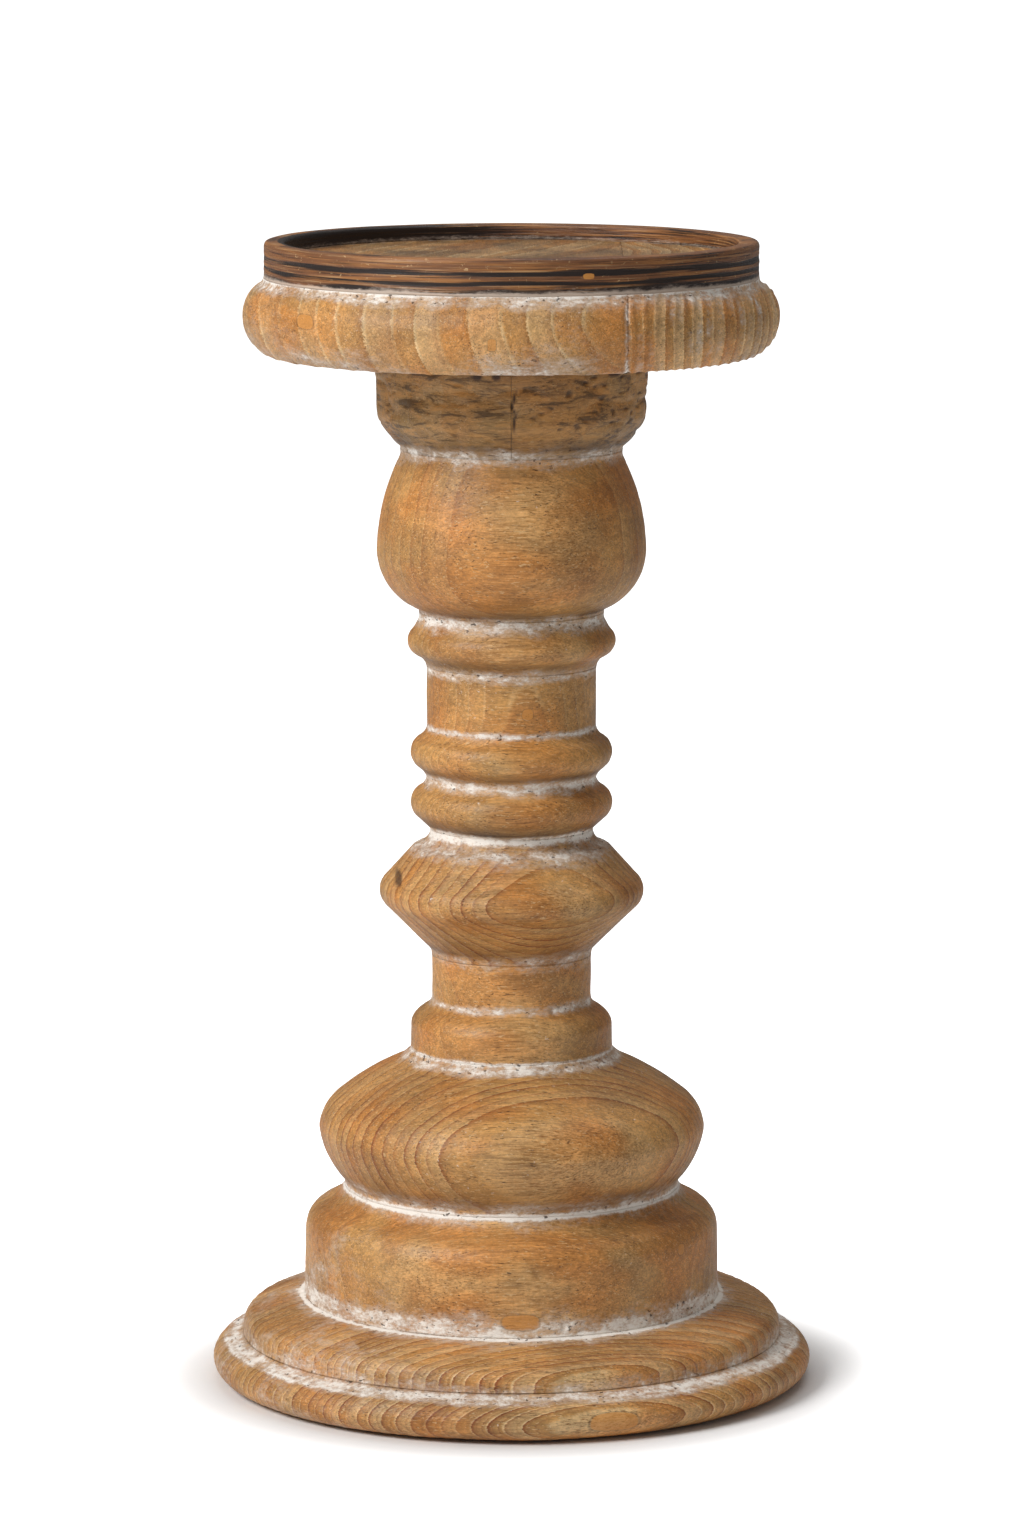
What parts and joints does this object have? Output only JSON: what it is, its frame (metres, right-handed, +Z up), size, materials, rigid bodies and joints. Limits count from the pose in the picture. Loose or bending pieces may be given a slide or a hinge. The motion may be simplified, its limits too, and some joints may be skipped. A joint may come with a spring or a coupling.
{
  "type": "pillar candle holder",
  "caption": "Turned wood pillar candle holder: round foot, beaded and bulbed stem on a tie rod, and a shallow round dish with a dark rim hoop.",
  "frame": {"origin": "middle of the underside, on the surface that the holder stands on", "axes": "+Z up along the turning axis; the dish's glue line is parallel to Y, on the +X side"},
  "size_m": [0.161, 0.161, 0.305],
  "materials": {
    "stained_wood": "honey-brown stain, whitewashed in the grooves, waxed",
    "weathered_wood": "rough, greenish-brown, worn",
    "scorched_wood": "dark brown with scorched streaks",
    "felt": "pressed felt",
    "steel": "zinc plated"
  },
  "bodies": {
    "root": {"base_felt": "felt", "foot_disc": "stained_wood", "foot_moulding": "stained_wood", "drum": "stained_wood", "lower_bulb": "stained_wood", "lower_stem": "stained_wood", "diamond_knop": "stained_wood", "upper_stem": "stained_wood", "top_ring": "stained_wood", "upper_bulb": "stained_wood", "neck_half_left": "weathered_wood", "neck_half_right": "weathered_wood", "dish_board_wide": "stained_wood", "dish_board_narrow": "stained_wood", "rim_hoop": "scorched_wood", "tie_rod": "steel", "top_nut": "steel", "top_washer": "steel", "bottom_nut": "steel", "bottom_washer": "steel", "dish_screws": "steel", "foot_screws": "steel"}
  },
  "joints": []
}
